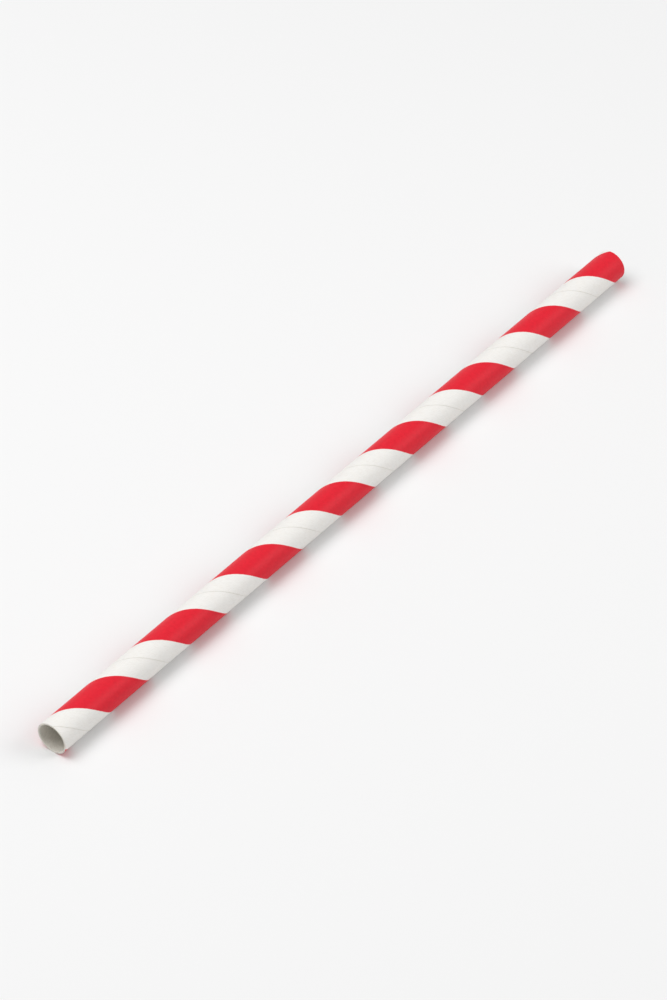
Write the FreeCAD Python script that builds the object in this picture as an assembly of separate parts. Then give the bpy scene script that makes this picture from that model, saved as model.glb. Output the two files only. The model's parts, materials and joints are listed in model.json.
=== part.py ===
import FreeCAD
import Part

import math
import os

# A spiral-wound paper drinking straw, in millimetres, lying along X on the plane z = 0.
# The end at -X is the near end. Places round the wall are given on the crest, its top line.

# Driving dimensions of the cut tube
straw_length = 210.0
outer_diameter = 8.0
ply_thickness = 0.14
ply_count = 3

# Driving dimensions of the winding, a right-hand helix of one start
winding_pitch = 27.3        # advance along the axis for one turn of the paper strip
inner_seam_lead = 11.0      # how far the inner ply's seam runs ahead of the outer one's

# Driving dimensions of the printed stripe on the outer ply
stripe_width = 8.7          # square to the strip's edges
first_stripe_start = 6.7    # from the near end to the first stripe, along the crest

# The soft wall has a slight flat where it lies
rest_flat_depth = 0.05

# How far the winding lines and the cutting slab run past each end
tool_overrun = 2.0

# Sizes worked out from the above
wall = ply_count * ply_thickness
outer_radius = outer_diameter / 2
bore_radius = outer_radius - wall
girth = math.pi * outer_diameter
strip_edge_per_turn = math.hypot(girth, winding_pitch)
stripe_run = stripe_width * strip_edge_per_turn / girth
margin_run = (winding_pitch - stripe_run) / 2
near_end = -straw_length / 2
stripe_start = near_end + first_stripe_start
stripe_end = stripe_start + stripe_run
outer_seam = stripe_start - margin_run
inner_seam = outer_seam + inner_seam_lead
winding_start = near_end - tool_overrun
winding_length = straw_length + 2 * tool_overrun

ALONG_X = FreeCAD.Vector(1, 0, 0)
AXIS_POINT = FreeCAD.Vector(0, 0, outer_radius - rest_flat_depth)


def wound_placement(crest_x):
    """Lay a winding made about Z along the straw, so that it passes the crest at crest_x."""
    turns_to_start = (winding_start - crest_x) / winding_pitch
    turn = FreeCAD.Rotation(FreeCAD.Vector(0, 0, 1), 180 + 360 * turns_to_start)
    lay_down = FreeCAD.Rotation(FreeCAD.Vector(0, 1, 0), 90)
    base = AXIS_POINT + ALONG_X * winding_start
    return FreeCAD.Placement(base, lay_down.multiply(turn))


def wound_line(radius, crest_x):
    """A right-hand helical line at one radius, along an edge of the strip or of its print."""
    line = Part.makeHelix(winding_pitch, winding_length, radius)
    line.Placement = wound_placement(crest_x)
    return line


def below_ground():
    """A slab under the plane z = 0, as long as a winding and as wide as the straw."""
    corner = FreeCAD.Vector(winding_start, -outer_radius, -tool_overrun)
    return Part.makeBox(winding_length, outer_diameter, tool_overrun, corner)


def make_straw():
    """The wound tube, with the stripe's edges and both seams marked on its walls."""
    near_centre = AXIS_POINT + ALONG_X * near_end
    body = Part.makeCylinder(outer_radius, straw_length, near_centre, ALONG_X)
    bore = Part.makeCylinder(bore_radius, straw_length, near_centre, ALONG_X)
    marks = [
        wound_line(outer_radius, stripe_start),
        wound_line(outer_radius, stripe_end),
        wound_line(outer_radius, outer_seam),
        wound_line(bore_radius, inner_seam),
    ]
    marked, _ = body.cut(bore).cut(below_ground()).generalFuse(marks)
    return marked.Solids[0]


os.makedirs("parts", exist_ok=True)
make_straw().exportStep("parts/straw.step")
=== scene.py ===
import json
import math

import bmesh
import bpy
from mathutils import Matrix, Vector, noise


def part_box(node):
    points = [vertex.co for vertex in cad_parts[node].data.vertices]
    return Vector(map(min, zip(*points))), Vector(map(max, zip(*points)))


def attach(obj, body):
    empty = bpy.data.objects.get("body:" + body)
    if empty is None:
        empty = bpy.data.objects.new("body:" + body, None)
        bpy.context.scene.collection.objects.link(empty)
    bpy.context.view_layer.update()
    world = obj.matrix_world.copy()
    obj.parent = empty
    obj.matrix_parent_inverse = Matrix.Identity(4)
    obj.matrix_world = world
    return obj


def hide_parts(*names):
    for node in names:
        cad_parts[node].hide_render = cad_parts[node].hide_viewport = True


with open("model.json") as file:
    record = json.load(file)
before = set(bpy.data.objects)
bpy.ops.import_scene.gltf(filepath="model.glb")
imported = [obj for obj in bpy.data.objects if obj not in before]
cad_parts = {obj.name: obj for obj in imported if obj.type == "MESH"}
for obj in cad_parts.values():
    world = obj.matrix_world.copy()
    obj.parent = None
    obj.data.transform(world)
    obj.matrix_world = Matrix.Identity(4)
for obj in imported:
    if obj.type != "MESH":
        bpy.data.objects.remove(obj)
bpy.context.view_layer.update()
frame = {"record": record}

mm = 0.001

# The solid gives the straw's length and the plane it lies on; its mounts give axis and radii
low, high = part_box("straw")
nearEnd = low.x
farEnd = high.x
mounts = {m["name"]: m for m in frame["record"]["mounts"]}
strawRadius = mounts["outside"]["dims"]["r_mm"] * mm
boreRadius = mounts["bore"]["dims"]["r_mm"] * mm
axisHeight = mounts["outside"]["pos_m"][2]
wallThickness = strawRadius - boreRadius

# The paper strips are wound right-handed and butted edge to edge, where the solid marks them
winding = {
    "pitch": 27.3 * mm,           # advance along the axis for one turn
    "plies": 3,
    "seamGap": 0.16 * mm,         # opening between a strip's butted edges, along the axis
    "seamDepth": 0.06 * mm,
    "innerSeamLead": 11.0 * mm,   # how far the inner strip's seam runs ahead of the outer one's
    "middleSeamLead": 18.5 * mm,  # the covered middle strip's seam, which shows through as a dip
}
stripe = {
    "width": 8.7 * mm,            # square to the strip's edges
    "firstStart": 6.7 * mm,       # from the near end, along the crest
}
girth = math.tau * strawRadius
edgePerTurn = math.hypot(girth, winding["pitch"])
stripWidth = winding["pitch"] * girth / edgePerTurn
stripeRun = stripe["width"] * edgePerTurn / girth
marginRun = (winding["pitch"] - stripeRun) / 2
outerSeam = nearEnd + stripe["firstStart"] - marginRun
plyThickness = wallThickness / winding["plies"]
print("frame: straw of", round((farEnd - nearEnd) / mm, 1), "mm,",
      "wound from a strip of", round(stripWidth / mm, 2), "mm")


def toLinear(hexColour):  # sRGB hex to the linear values that shaders take
    shares = [int(hexColour[i:i + 2], 16) / 255 for i in (1, 3, 5)]
    return [s / 12.92 if s <= 0.04045 else ((s + 0.055) / 1.055) ** 2.4 for s in shares] + [1.0]


# An input is a value, or a socket to link. Mix has sockets of one name for each data type, so it
# is given their numbers: 0 is the factor, 2 and 3 are numbers, 6 and 7 are colours.
def addNode(material, kind, inputs=None, **settings):
    tree = material.node_tree
    node = tree.nodes.new(kind)
    for name, value in settings.items():
        setattr(node, name, value)
    for name, value in (inputs or {}).items():
        if isinstance(value, bpy.types.NodeSocket):
            tree.links.new(value, node.inputs[name])
        else:
            node.inputs[name].default_value = value
    return node


def newMaterial(name):
    material = bpy.data.materials.new(name)
    material.use_nodes = True
    material.node_tree.nodes.clear()
    return material


def newPiece(name, bm, materials):
    mesh = bpy.data.meshes.new(name)
    bm.to_mesh(mesh)
    bm.free()
    for material in materials:
        mesh.materials.append(material)
    piece = bpy.data.objects.new(name, mesh)
    bpy.context.scene.collection.objects.link(piece)
    return piece


def feltedFibres(material, place, look):  # fibres that cross, most of them along the strip
    felt = None
    for turn in look["fibreTurns"]:
        laid = addNode(material, "ShaderNodeMapping", {
            "Vector": place, "Rotation": (0, 0, math.radians(turn)),
            "Scale": (look["fibreWidth"], look["fibreLength"], 1),
        }, vector_type="TEXTURE")
        fibre = addNode(material, "ShaderNodeTexNoise", {
            "Vector": laid.outputs["Vector"], "Scale": 1, "Detail": 3, "Roughness": 0.6,
        }, noise_dimensions="2D").outputs["Fac"]
        felt = fibre if felt is None else addNode(material, "ShaderNodeMath", {
            0: felt, 1: fibre,
        }, operation="MAXIMUM").outputs[0]
    return felt


# Bleached kraft paper, calendered and printed with food-safe flexo ink: nearly matt, warm
# white, with faint felted fibres. The ink soaks in on top, flat red and a little glossier.
# The strip's UV map is in mm, so the patterns' sizes are too.
printedPaper = {
    "paper": "#F3F1ED",
    "fibre": "#E4E0DA",
    "ink": "#E3172D",
    "inkDeep": "#D81429",
    # the seam's colour: painted shade of its groove, with the glue's own slight darkening
    "seamGlueAndPaintedShade": "#DCD8D0",
    "fibreWidth": 0.14,            # real fibres are 0.03 mm wide, drawn coarser so that they show
    "fibreLength": 1.5,
    "fibreTurns": (0, 24, -33),    # degrees from the strip's length
    "fibreRange": (0.52, 0.82),    # of the noise, from bare sheet to full fibre
    "fibreShare": 0.8,             # of the fibre's colour, at the most
    "mottle": 0.9,                 # the cloudiness of the sheet and of the ink on it
    "cloudRange": (0.9, 1.4),      # of fibres and mottle together, from ink to inkDeep
    "edgeWander": 0.10,            # how far the print's edge strays
    "edgeSoftness": 0.07,
    "seamHalfWidth": 0.1,
    "paperRoughness": 0.62,
    "inkRoughness": 0.5,
    "ior": 1.48,                   # cellulose
    "specular": 0.28,              # the ink soaks into the sheet, so little of its gloss is left
    "relief": 0.012 * mm,
    "glow": 0.12,                  # thin paper lets a little light through
    "glowReach": 0.4 * mm,
    "glowTint": (1.0, 0.9, 0.8),   # red goes further through paper than blue
}


def makePrintedPaper(look):
    material = newMaterial("printedKraftPaper")
    place = addNode(material, "ShaderNodeUVMap", uv_map="strip").outputs["UV"]
    split = addNode(material, "ShaderNodeSeparateXYZ", {"Vector": place})
    across = split.outputs["X"]
    fibre = feltedFibres(material, place, look)
    mottle = addNode(material, "ShaderNodeTexNoise", {
        "Vector": place, "Scale": 1 / look["mottle"], "Detail": 4, "Roughness": 0.65,
    }, noise_dimensions="2D").outputs["Fac"]

    # The print's edges: two soft steps across the strip, pushed about by the noise
    wander = addNode(material, "ShaderNodeMath", {
        0: mottle, 1: look["edgeWander"], 2: across,
    }, operation="MULTIPLY_ADD").outputs[0]
    ragged = addNode(material, "ShaderNodeMath", {
        0: fibre, 1: look["edgeWander"], 2: wander,
    }, operation="MULTIPLY_ADD").outputs[0]
    margin = (stripWidth - stripe["width"]) / 2 / mm
    inkSteps = []
    for edge in (margin, margin + stripe["width"] / mm):
        middle = edge + look["edgeWander"]
        inkSteps.append(addNode(material, "ShaderNodeMapRange", {
            "Value": ragged,
            "From Min": middle - look["edgeSoftness"],
            "From Max": middle + look["edgeSoftness"],
        }, interpolation_type="SMOOTHSTEP").outputs["Result"])
    ink = addNode(material, "ShaderNodeMath", {
        0: inkSteps[0], 1: inkSteps[1],
    }, operation="SUBTRACT").outputs[0]

    # Colours: fibres in the white, fibres and cloudiness in the red
    height = addNode(material, "ShaderNodeMath", {0: fibre, 1: mottle}, operation="ADD").outputs[0]
    fibreShow = addNode(material, "ShaderNodeMapRange", {
        "Value": fibre, "From Min": look["fibreRange"][0], "From Max": look["fibreRange"][1],
        "To Max": look["fibreShare"],
    }).outputs["Result"]
    white = addNode(material, "ShaderNodeMix", {
        0: fibreShow, 6: toLinear(look["paper"]), 7: toLinear(look["fibre"]),
    }, data_type="RGBA").outputs[2]
    cloud = addNode(material, "ShaderNodeMapRange", {
        "Value": height, "From Min": look["cloudRange"][0], "From Max": look["cloudRange"][1],
    }).outputs["Result"]
    red = addNode(material, "ShaderNodeMix", {
        0: cloud, 6: toLinear(look["ink"]), 7: toLinear(look["inkDeep"]),
    }, data_type="RGBA").outputs[2]
    printed = addNode(material, "ShaderNodeMix", {
        0: ink, 6: white, 7: red,
    }, data_type="RGBA").outputs[2]

    # Painted shade along the strip's butted edges, for the shadow in the seam's groove, mixed with
    # the glue line's own slight darkening
    fromMiddle = addNode(material, "ShaderNodeMath", {
        0: across, 1: stripWidth / 2 / mm,
    }, operation="SUBTRACT").outputs[0]
    reach = addNode(material, "ShaderNodeMath", {0: fromMiddle}, operation="ABSOLUTE").outputs[0]
    seamShow = addNode(material, "ShaderNodeMapRange", {
        "Value": reach,
        "From Min": stripWidth / 2 / mm - look["seamHalfWidth"],
        "From Max": stripWidth / 2 / mm,
    }, interpolation_type="SMOOTHSTEP").outputs["Result"]
    colour = addNode(material, "ShaderNodeMix", {
        0: seamShow, 6: printed, 7: toLinear(look["seamGlueAndPaintedShade"]),
    }, data_type="RGBA").outputs[2]

    roughness = addNode(material, "ShaderNodeMix", {
        0: ink, 2: look["paperRoughness"], 3: look["inkRoughness"],
    }).outputs[0]
    bump = addNode(material, "ShaderNodeBump", {
        "Height": height, "Distance": look["relief"], "Strength": 1.0,
    })
    shader = addNode(material, "ShaderNodeBsdfPrincipled", {
        "Base Color": colour, "Roughness": roughness, "Normal": bump.outputs["Normal"],
        "IOR": look["ior"], "Specular IOR Level": look["specular"],
        "Subsurface Weight": look["glow"], "Subsurface Scale": look["glowReach"],
        "Subsurface Radius": look["glowTint"],
    })
    addNode(material, "ShaderNodeOutputMaterial", {"Surface": shader.outputs["BSDF"]})
    return material


# The inner strip: the same paper, unprinted and uncalendered, so duller, with fibres that show
innerPaper = {
    "paper": "#ECE8DF",
    "fibre": "#D6D0C4",
    "fibreWidth": 0.14,
    "fibreLength": 1.6,
    "fibreTurns": (0, 24, -33),
    "fibreRange": (0.5, 0.8),
    "roughness": 0.78,
    "ior": 1.48,
    "specular": 0.2,
    "relief": 0.02 * mm,
    "glow": 0.12,
    "glowReach": 0.4 * mm,
    "glowTint": (1.0, 0.9, 0.8),
}

# The cut edges: the knife leaves fibre ends, so short specks and the roughest finish
cutPaper = dict(innerPaper, fibreWidth=0.1, fibreLength=0.14, fibreTurns=(0, 45), roughness=0.85)


def makeRawPaper(name, look):
    material = newMaterial(name)
    place = addNode(material, "ShaderNodeUVMap", uv_map="strip").outputs["UV"]
    fibre = feltedFibres(material, place, look)
    fibreShow = addNode(material, "ShaderNodeMapRange", {
        "Value": fibre, "From Min": look["fibreRange"][0], "From Max": look["fibreRange"][1],
    }).outputs["Result"]
    colour = addNode(material, "ShaderNodeMix", {
        0: fibreShow, 6: toLinear(look["paper"]), 7: toLinear(look["fibre"]),
    }, data_type="RGBA").outputs[2]
    bump = addNode(material, "ShaderNodeBump", {
        "Height": fibre, "Distance": look["relief"], "Strength": 1.0,
    })
    shader = addNode(material, "ShaderNodeBsdfPrincipled", {
        "Base Color": colour, "Roughness": look["roughness"], "Normal": bump.outputs["Normal"],
        "IOR": look["ior"], "Specular IOR Level": look["specular"],
        "Subsurface Weight": look["glow"], "Subsurface Scale": look["glowReach"],
        "Subsurface Radius": look["glowTint"],
    })
    addNode(material, "ShaderNodeOutputMaterial", {"Surface": shader.outputs["BSDF"]})
    return material


outerWall, boreWall, cutEdge = range(3)  # the straw's material slots

# The tube's mesh: a ring for each wall carried along the winding, so its edges run with the strip
tube = {
    "around": 96,                # points in each ring
    "step": 0.5 * mm,            # along the axis
    "cornerRound": 0.03 * mm,    # the knife leaves a slightly rounded edge
    "cornerShare": 0.3,          # of that, where the middle of the rounding lies
    "lipRise": 0.012 * mm,       # the strip's edges stand a little proud beside the seam
    "lipReach": 0.5 * mm,
    "dipDepth": 0.014 * mm,      # where the middle strip's seam shows through
    "dipReach": 0.45 * mm,
    "glueDrop": 0.035 * mm,      # the glue line between plies lies behind the cut
    "glueHalfWidth": 0.012 * mm,
    "waver": 0.018 * mm,         # slow unevenness of the wall
    "waverLength": 7.0 * mm,
    "cutRagged": 0.02 * mm,      # fibres torn by the knife
    "cutGrain": 0.3 * mm,
    "cutReach": 0.045 * mm,      # how far from the cut the torn fibres start
    "seamPoints": (0.0, 0.6, 1.0, 2.6, 6.0),   # places beside the seam, in half gaps
    "stepsAtOnce": 30,           # rings wound in one go; a single long spin is very slow
    "mergeReach": 0.0005 * mm,
    "sharpAngle": 38,            # degrees; steeper edges than this aren't smoothed
}


def ringPoint(x, angle, radius):  # angle from the crest, right-handed about +X
    return Vector((x, -radius * math.sin(angle), axisHeight + radius * math.cos(angle)))


def angleAt(x, crestX):  # where a winding line that crosses the crest at crestX lies at x
    return math.tau * (x - crestX) / winding["pitch"]


# A ring of one wall, with its points drawn together round the seam. seamPlace numbers the point
# on the seam, and seamSign says which way the groove goes: 1 inwards, -1 outwards.
def makeRing(bm, place, radius, x, seamPlace, seamSign):
    startAngle = angleAt(x, outerSeam)
    turn = Matrix.Rotation(startAngle, 4, "X")
    # Stands the circle up across the straw, with its first point on the crest
    stand = Matrix(((0, 0, 1, 0), (1, 0, 0, 0), (0, 1, 0, 0), (0, 0, 0, 1)))
    made = bmesh.ops.create_circle(
        bm, cap_ends=False, segments=tube["around"], radius=radius,
        matrix=Matrix.Translation((x, 0, axisHeight)) @ turn @ stand)
    halfGap = winding["seamGap"] / 2 * girth / winding["pitch"]
    half = tube["around"] // 2
    spacing = math.tau / tube["around"]
    dipAngle = angleAt(x, outerSeam + winding["middleSeamLead"])
    for index, vert in enumerate(made["verts"]):
        vert[place] = index
        fromSeam = (index - seamPlace + half) % tube["around"] - half
        arc = fromSeam * spacing * radius
        if abs(fromSeam) < len(tube["seamPoints"]):
            arc = math.copysign(tube["seamPoints"][abs(fromSeam)] * halfGap, fromSeam)
        inSeam = abs(fromSeam) < tube["seamPoints"].index(1.0)
        pastLip = max(abs(arc) - halfGap, 0) / tube["lipReach"]
        drop = winding["seamDepth"] if inSeam else tube["lipRise"] * (1 - math.exp(-pastLip ** 2))
        angle = startAngle + seamPlace * spacing + arc / radius
        if seamSign > 0:  # the middle strip's seam shows through the outer strip only
            fromDip = math.remainder(angle - dipAngle, math.tau) * radius / tube["dipReach"]
            drop += tube["dipDepth"] * math.exp(-fromDip ** 2)
        vert.co = ringPoint(x, angle, radius - seamSign * drop)
    return made["verts"]


def edgesOf(verts):
    inside = set(verts)
    return list({e for v in verts for e in v.link_edges if e.other_vert(v) in inside})


# Carries the outer wall's last ring over the cut edge to the inner wall's
def closeEnd(bm, place, outerVerts, innerVerts, endX, inward):
    outer = {v[place]: v.co.copy() for v in outerVerts}
    inner = {v[place]: v.co.copy() for v in innerVerts}
    corner = tube["cornerRound"]
    shoulder = corner * tube["cornerShare"]
    rings = [(shoulder, shoulder), (corner, 0)]  # depth in from the outer wall, drop behind the cut
    for ply in range(1, winding["plies"]):
        glue = ply * plyThickness
        rings.append((glue - tube["glueHalfWidth"], 0))
        rings.append((glue, tube["glueDrop"]))
        rings.append((glue + tube["glueHalfWidth"], 0))
    rings += [
        (wallThickness - corner, 0), (wallThickness - shoulder, shoulder), (wallThickness, corner),
    ]
    edges = edgesOf(outerVerts)
    faces = []
    for depth, drop in rings:
        grown = bmesh.ops.extrude_edge_only(bm, edges=edges)["geom"]
        verts = [g for g in grown if isinstance(g, bmesh.types.BMVert)]
        faces += [g for g in grown if isinstance(g, bmesh.types.BMFace)]
        for vert in verts:
            index = vert[place]
            vert.co = outer[index].lerp(inner[index], depth / wallThickness)
            vert.co.x = endX + inward * drop
        edges = edgesOf(verts)
    for face in faces:
        face.material_index = cutEdge


def stripPlace(point, faceMiddle, seamCrest):  # (across, along) the paper strip, in mm
    def unrolled(p):
        return -math.atan2(p.y, p.z - axisHeight) * strawRadius
    sine = girth / edgePerTurn
    cosine = winding["pitch"] / edgePerTurn
    middleArc = unrolled(faceMiddle)
    arc = middleArc + math.remainder(unrolled(point) - middleArc, girth)
    turns = math.floor(((faceMiddle.x - seamCrest) * sine - middleArc * cosine) / stripWidth)
    arc += turns * girth
    run = point.x - seamCrest
    return (run * sine - arc * cosine) / mm, (run * cosine + arc * sine) / mm


def windLength(bm, x, step, radius, seamPlace, side):  # one short length of a wall, added to bm
    short = bmesh.new()
    place = short.verts.layers.int.new("place")
    ring = makeRing(short, place, radius, x, seamPlace, 1 if side == outerWall else -1)
    turn = math.tau * step / winding["pitch"]
    bmesh.ops.spin(
        short, geom=list(ring) + edgesOf(ring), cent=(0, 0, axisHeight), axis=(1, 0, 0),
        dvec=(step, 0, 0), angle=turn * tube["stepsAtOnce"], steps=tube["stepsAtOnce"],
        use_merge=False, use_duplicate=False)
    for face in short.faces:
        face.material_index = side
    mesh = bpy.data.meshes.new("short")
    short.to_mesh(mesh)
    short.free()
    bm.from_mesh(mesh)
    bpy.data.meshes.remove(mesh)


def ringAt(bm, x, outside):
    middle = (strawRadius + boreRadius) / 2
    ring = [v for v in bm.verts if abs(v.co.x - x) < tube["cornerRound"] / 2]
    return [v for v in ring if (math.hypot(v.co.y, v.co.z - axisHeight) > middle) == outside]


def unevenness(spot, length):  # 0 to 1, slow over the given length
    return min(max(0.5 + 0.5 * noise.noise(spot / length), 0), 1)


def makeStraw(materials):
    bm = bmesh.new()
    start = nearEnd + tube["cornerRound"]
    end = farEnd - tube["cornerRound"]
    lengths = round((end - start) / tube["step"] / tube["stepsAtOnce"])
    step = (end - start) / lengths / tube["stepsAtOnce"]
    innerPlace = -round(winding["innerSeamLead"] / winding["pitch"] * tube["around"])
    walls = ((outerWall, strawRadius, 0), (boreWall, boreRadius, innerPlace))
    for side, radius, seamPlace in walls:
        for number in range(lengths):
            x = start + number * step * tube["stepsAtOnce"]
            windLength(bm, x, step, radius, seamPlace, side)
    place = bm.verts.layers.int["place"]
    closeEnd(bm, place, ringAt(bm, start, True), ringAt(bm, start, False), nearEnd, 1)
    closeEnd(bm, place, ringAt(bm, end, True), ringAt(bm, end, False), farEnd, -1)
    bmesh.ops.remove_doubles(bm, verts=bm.verts, dist=tube["mergeReach"])
    bmesh.ops.recalc_face_normals(bm, faces=bm.faces)

    # Slow unevenness of the wall, the flat where it lies, and the torn fibres of the two cuts
    for vert in bm.verts:
        radial = Vector((0, vert.co.y, vert.co.z - axisHeight))
        sunk = tube["waver"] * unevenness(vert.co, tube["waverLength"])
        torn = tube["cutRagged"] * unevenness(vert.co, tube["cutGrain"])
        vert.co -= radial.normalized() * sunk
        vert.co.z = max(vert.co.z, low.z)
        fromCut = min(vert.co.x - nearEnd, farEnd - vert.co.x)
        if fromCut < tube["cutReach"]:
            vert.co.x -= math.copysign(torn, vert.co.x)

    # Spin and extrude leave points and faces in another order each run, so both are sorted
    for number, vert in enumerate(sorted(bm.verts, key=lambda v: v.co[:])):
        vert.index = number
    for number, face in enumerate(sorted(bm.faces, key=lambda f: f.calc_center_median()[:])):
        face.index = number
    bm.verts.sort()
    bm.faces.sort()

    strip = bm.loops.layers.uv.new("strip")
    seams = (outerSeam, outerSeam + winding["innerSeamLead"])
    for face in bm.faces:
        face.smooth = True
        middle = face.calc_center_median()
        for loop in face.loops:
            spot = loop.vert.co
            if face.material_index == cutEdge:
                loop[strip].uv = (spot.y / mm, spot.z / mm)
            else:
                loop[strip].uv = stripPlace(spot, middle, seams[face.material_index])
    piece = newPiece("woundStraw", bm, materials)
    piece.data.set_sharp_from_angle(angle=math.radians(tube["sharpAngle"]))
    print("straw:", len(piece.data.polygons), "faces,", len(piece.data.vertices), "points")
    return piece


papers = [
    makePrintedPaper(printedPaper),
    makeRawPaper("innerKraftPaper", innerPaper),
    makeRawPaper("cutKraftEdge", cutPaper),
]
print("materials:", ", ".join(p.name for p in papers))
straw = makeStraw(papers)
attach(straw, "root")
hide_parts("straw")


# Seamless paper backdrop: dead matt and pale, paler still to the camera, and fading into the
# sky's colour away from the straw. Lengths here and below are in metres.
backdrop = {
    "size": 60.0,
    "lit": "#E4E4E4",
    "seen": "#F3F3F3",
    "far": "#F7F7F7",
    "fadeStart": 0.16,
    "fadeEnd": 0.55,
}


def seenDirectly(material):  # 1 where the camera, a reflection or glass looks at it, 0 for light
    rays = addNode(material, "ShaderNodeLightPath")
    seen = rays.outputs["Is Camera Ray"]
    for kind in ("Is Glossy Ray", "Is Transmission Ray"):
        seen = addNode(material, "ShaderNodeMath", {
            0: seen, 1: rays.outputs[kind],
        }, operation="MAXIMUM").outputs[0]
    return seen


def makeFloor(look):
    material = newMaterial("mattBackdropPaper")
    seen = seenDirectly(material)
    colour = addNode(material, "ShaderNodeMix", {
        0: seen, 6: toLinear(look["lit"]), 7: toLinear(look["seen"]),
    }, data_type="RGBA").outputs[2]
    matt = addNode(material, "ShaderNodeBsdfDiffuse", {"Color": colour})
    place = addNode(material, "ShaderNodeTexCoord").outputs["Object"]
    away = addNode(material, "ShaderNodeVectorMath", {
        0: place,
    }, operation="LENGTH").outputs["Value"]
    fade = addNode(material, "ShaderNodeMapRange", {
        "Value": away, "From Min": look["fadeStart"], "From Max": look["fadeEnd"], "To Max": seen,
    }, interpolation_type="SMOOTHSTEP").outputs["Result"]
    far = addNode(material, "ShaderNodeEmission", {"Color": toLinear(look["far"])})
    shader = addNode(material, "ShaderNodeMixShader", {
        0: fade, 1: matt.outputs["BSDF"], 2: far.outputs["Emission"],
    })
    addNode(material, "ShaderNodeOutputMaterial", {"Surface": shader.outputs["Shader"]})
    bm = bmesh.new()
    bmesh.ops.create_grid(bm, x_segments=1, y_segments=1, size=look["size"] / 2,
                          matrix=Matrix.Translation((0, 0, low.z)))
    return newPiece("floor", bm, [material])


# Soft studio light: one broad lamp from above, a weaker one beside the camera, and an even sky
studio = {
    "skyStrength": 0.42,
    "skySeen": backdrop["far"],
    "lamps": (
        # name, place, size, watts
        ("topSoftbox", (-0.25, 0.35, 0.95), 0.7, 6.4),
        ("cameraFill", (0.5, -0.7, 0.6), 0.6, 3.2),
    ),
}


def makeStudio(look):
    for name, spot, size, watts in look["lamps"]:
        lamp = bpy.data.lights.new(name, "AREA")
        lamp.size = size
        lamp.energy = watts
        holder = bpy.data.objects.new(name, lamp)
        holder.location = spot
        holder.rotation_euler = Vector(spot).to_track_quat("Z", "Y").to_euler()
        bpy.context.scene.collection.objects.link(holder)
    world = bpy.data.worlds.new("paleStudio")
    world.use_nodes = True
    world.node_tree.nodes.clear()
    even = addNode(world, "ShaderNodeBackground", {
        "Color": (1, 1, 1, 1), "Strength": look["skyStrength"],
    })
    pale = addNode(world, "ShaderNodeBackground", {
        "Color": toLinear(look["skySeen"]), "Strength": 1.0,
    })
    sky = addNode(world, "ShaderNodeMixShader", {
        0: seenDirectly(world), 1: even.outputs[0], 2: pale.outputs[0],
    })
    addNode(world, "ShaderNodeOutputWorld", {"Surface": sky.outputs[0]})
    bpy.context.scene.world = world


# The photograph's viewing angle on this straw, with a longer lens so that it fills the frame
view = {
    "azimuth": -51.9,
    "elevation": 41.6,
    "distance": 0.955,
    "aim": -6 * mm,              # the point of the axis in the middle of the frame
    "lens": 149,
}


def makeCamera(look):
    azimuth = math.radians(look["azimuth"])
    elevation = math.radians(look["elevation"])
    back = Vector((
        math.sin(azimuth) * math.cos(elevation),
        -math.cos(azimuth) * math.cos(elevation),
        math.sin(elevation),
    ))
    camera = bpy.data.cameras.new("camera")
    camera.lens = look["lens"]
    holder = bpy.data.objects.new("camera", camera)
    holder.location = Vector((look["aim"], 0, axisHeight)) + back * look["distance"]
    holder.rotation_euler = back.to_track_quat("Z", "Y").to_euler()
    bpy.context.scene.collection.objects.link(holder)
    bpy.context.scene.camera = holder


makeFloor(backdrop)
makeStudio(studio)
makeCamera(view)
bpy.context.scene.view_settings.view_transform = "Standard"
print("stage: floor,", len(studio["lamps"]), "lamps and camera")
